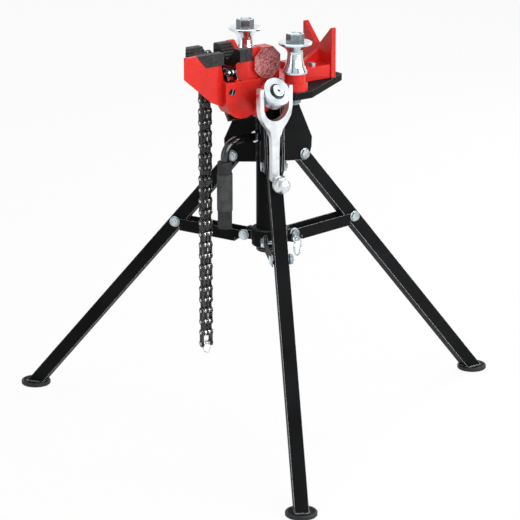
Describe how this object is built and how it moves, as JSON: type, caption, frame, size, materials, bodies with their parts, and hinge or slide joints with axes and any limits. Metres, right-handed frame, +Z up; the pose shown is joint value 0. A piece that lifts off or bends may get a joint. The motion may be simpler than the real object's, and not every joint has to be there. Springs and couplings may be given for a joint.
{
  "type": "tripod pipe vise stand",
  "caption": "Folding tripod stand with a chain pipe vise on top, a crank to tighten the chain, two bending spools, a pipe rest and a carry handle.",
  "frame": {"origin": "on the floor, under the axis of the post", "axes": "+Z up; the pipe lies along X with the vise at -X and the pipe rest at +X; the crank is at -Y"},
  "size_m": [0.9629, 1.1014, 0.9073],
  "materials": {
    "black_paint": "satin black enamel",
    "red_paint": "glossy red enamel on cast iron",
    "zinc": "bright zinc plate",
    "dark_steel": "oiled dark steel",
    "jaw_steel": "black hardened steel",
    "rubber": "matte black rubber",
    "plastic": "black plastic",
    "brass": "machined brass"
  },
  "bodies": {
    "stand_head": {"post_tube": "black_paint", "post_plug": "plastic", "post_socket": "black_paint", "leg_gussets": "black_paint", "leg_pivot_bolts": "zinc", "base_plate": "black_paint", "vise_body": "red_paint", "v_jaw_left": "jaw_steel", "v_jaw_right": "jaw_steel", "pipe_rest": "red_paint", "head_bolts": "zinc", "bender_bolt_front": "zinc", "bender_bolt_rear": "zinc", "screw_nut": "brass", "roll_pin": "zinc", "handle_bar": "black_paint", "handle_nut": "zinc", "handle_grip": "rubber"},
    "collar": {"slide_collar": "black_paint", "collar_bolts": "zinc"},
    "lock_pin": {"lock_pin": "zinc"},
    "pull_ring": {"pull_ring": "zinc"},
    "spool_front": {"bender_spool_front": "zinc"},
    "spool_rear": {"bender_spool_rear": "zinc"},
    "drawbar": {"chain_drawbar": "dark_steel"},
    "crank": {"crank_screw": "zinc", "crank_hub": "zinc", "crank_cross_pin": "zinc", "hub_bolt": "zinc", "screw_rings": "zinc"},
    "crank_lever": {"crank_lever": "zinc", "crank_ball": "zinc"},
    "chain_lead": {"chain_lead_plates": "dark_steel", "chain_lead_pins": "dark_steel"},
    "chain_upper": {"chain_upper_plates": "dark_steel", "chain_upper_pins": "dark_steel"},
    "chain_middle": {"chain_middle_plates": "dark_steel", "chain_middle_pins": "dark_steel"},
    "chain_lower": {"chain_lower_plates": "dark_steel", "chain_lower_pins": "dark_steel"},
    "chain_ring": {"chain_end_ring": "zinc"},
    "leg_rear": {"leg_rear": "black_paint", "pivot_bush_rear": "zinc", "foot_plate_rear": "black_paint", "foot_pad_rear": "rubber"},
    "brace_rear": {"brace_rear": "black_paint", "brace_bolt_rear": "zinc"},
    "leg_left": {"leg_left": "black_paint", "pivot_bush_left": "zinc", "foot_plate_left": "black_paint", "foot_pad_left": "rubber"},
    "brace_left": {"brace_left": "black_paint", "brace_bolt_left": "zinc"},
    "leg_front": {"leg_front": "black_paint", "pivot_bush_front": "zinc", "foot_plate_front": "black_paint", "foot_pad_front": "rubber"},
    "brace_front": {"brace_front": "black_paint", "brace_bolt_front": "zinc"}
  },
  "joints": [
    {"name": "collar_slide", "type": "slide", "parent": "stand_head", "child": "collar", "axis": [0, 0, 1], "range_m": [0, 0.12499]},
    {"name": "leg_fold_rear", "type": "hinge", "parent": "stand_head", "child": "leg_rear", "pos_m": [0.08, 0, 0.612], "axis": [0, 1, 0], "range_deg": [0, 38.5]},
    {"name": "brace_fold_rear", "type": "hinge", "parent": "collar", "child": "brace_rear", "pos_m": [0.054, 0, 0.432], "axis": [0, 1, 0], "range_deg": [0, 82.4]},
    {"name": "leg_fold_left", "type": "hinge", "parent": "stand_head", "child": "leg_left", "pos_m": [-0.04, 0.06928, 0.612], "axis": [-0.866, -0.5, 0], "range_deg": [0, 38.5]},
    {"name": "brace_fold_left", "type": "hinge", "parent": "collar", "child": "brace_left", "pos_m": [-0.027, 0.04677, 0.432], "axis": [-0.866, -0.5, 0], "range_deg": [0, 82.4]},
    {"name": "leg_fold_front", "type": "hinge", "parent": "stand_head", "child": "leg_front", "pos_m": [-0.04, -0.06928, 0.612], "axis": [0.866, -0.5, 0], "range_deg": [0, 38.5]},
    {"name": "brace_fold_front", "type": "hinge", "parent": "collar", "child": "brace_front", "pos_m": [-0.027, -0.04677, 0.432], "axis": [0.866, -0.5, 0], "range_deg": [0, 82.4]},
    {"name": "lock_pin_pull", "type": "slide", "parent": "collar", "child": "lock_pin", "axis": [0.5, -0.866, 0], "range_m": [0, 0.01], "stiffness_N_per_m": 400, "springref_m": -0.004},
    {"name": "pull_ring_swing", "type": "hinge", "parent": "lock_pin", "child": "pull_ring", "pos_m": [0.034, -0.05889, 0.432], "axis": [0.866, 0.5, 0], "range_deg": [-70, 12]},
    {"name": "spool_turn_front", "type": "hinge", "parent": "stand_head", "child": "spool_front", "pos_m": [0, -0.092, 0.855], "axis": [0, 0, 1], "continuous": true},
    {"name": "spool_turn_rear", "type": "hinge", "parent": "stand_head", "child": "spool_rear", "pos_m": [0, 0.092, 0.855], "axis": [0, 0, 1], "continuous": true},
    {"name": "drawbar_travel", "type": "slide", "parent": "stand_head", "child": "drawbar", "axis": [0, 0.8192, -0.5736], "range_m": [-0.0003, 0.0009]},
    {"name": "crank_turn", "type": "hinge", "parent": "drawbar", "child": "crank", "pos_m": [-0.074, -0.118, 0.789], "axis": [0, 0.8192, -0.5736], "range_deg": [-6, 50]},
    {"name": "lever_fold", "type": "hinge", "parent": "crank", "child": "crank_lever", "pos_m": [-0.074, -0.118, 0.789], "axis": [-1, 0, 0], "range_deg": [0, 95]},
    {"name": "chain_lift", "type": "hinge", "parent": "drawbar", "child": "chain_lead", "pos_m": [-0.133, -0.0442, 0.8041], "axis": [1, 0, 0], "range_deg": [0, 2.5]},
    {"name": "chain_swing_upper", "type": "hinge", "parent": "chain_lead", "child": "chain_upper", "pos_m": [-0.133, 0.058, 0.851], "axis": [1, 0, 0], "range_deg": [0, 5]},
    {"name": "chain_swing_middle", "type": "hinge", "parent": "chain_upper", "child": "chain_middle", "pos_m": [-0.133, 0.058, 0.6478], "axis": [1, 0, 0], "range_deg": [-3, 5]},
    {"name": "chain_swing_lower", "type": "hinge", "parent": "chain_middle", "child": "chain_lower", "pos_m": [-0.133, 0.058, 0.4446], "axis": [1, 0, 0], "range_deg": [-6, 6]},
    {"name": "end_ring_swing", "type": "hinge", "parent": "chain_lower", "child": "chain_ring", "pos_m": [-0.133, 0.058, 0.1906], "axis": [1, 0, 0], "range_deg": [-40, 40]}
  ],
  "couplings": [
    {"joint": "leg_fold_rear", "follows": "collar_slide", "rad_per_m": 5.362},
    {"joint": "brace_fold_rear", "follows": "collar_slide", "rad_per_m": 11.485},
    {"joint": "leg_fold_left", "follows": "collar_slide", "rad_per_m": 5.362},
    {"joint": "brace_fold_left", "follows": "collar_slide", "rad_per_m": 11.485},
    {"joint": "leg_fold_front", "follows": "collar_slide", "rad_per_m": 5.362},
    {"joint": "brace_fold_front", "follows": "collar_slide", "rad_per_m": 11.485},
    {"joint": "drawbar_travel", "follows": "crank_turn", "m_per_rad": 0.00079577}
  ]
}
